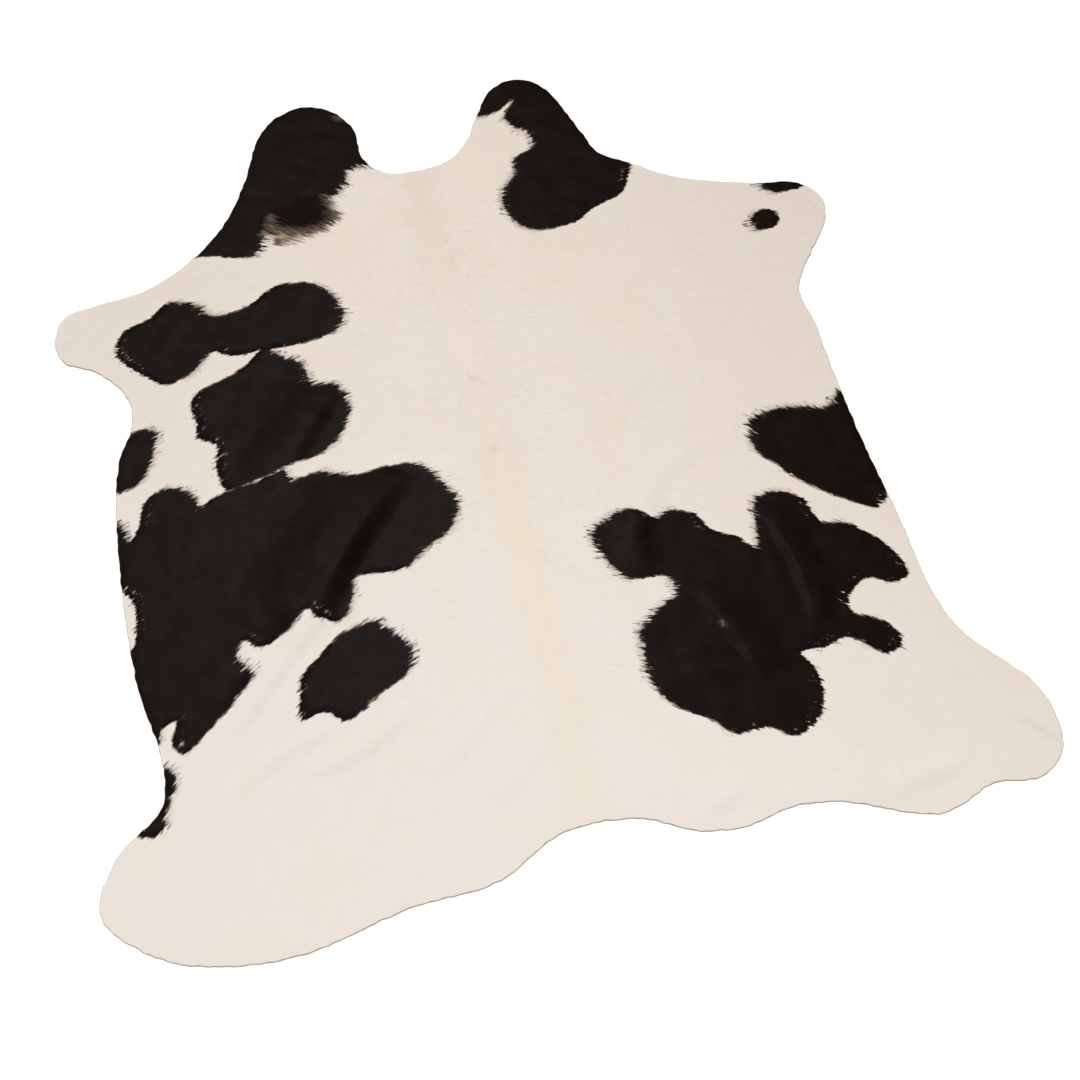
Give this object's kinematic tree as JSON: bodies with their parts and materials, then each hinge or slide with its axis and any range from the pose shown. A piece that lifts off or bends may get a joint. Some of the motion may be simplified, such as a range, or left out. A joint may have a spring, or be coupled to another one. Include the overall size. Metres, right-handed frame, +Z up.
{
  "type": "cowhide rug",
  "caption": "Whole cowhide floor rug with its hair on, black patches on a white coat, lying flat with low creases.",
  "frame": {"origin": "on the floor, under the middle of the hide's own box", "axes": "+X across the hide to the right side seen with the neck at the far end, +Y along the spine towards the neck, +Z up from the floor"},
  "size_m": [2.0142, 2.1996, 0.017],
  "materials": {
    "cow_hair": "matt white cow hair with black patches, lying flat on tan leather"
  },
  "bodies": {
    "root": {"hide": "cow_hair"}
  },
  "joints": []
}
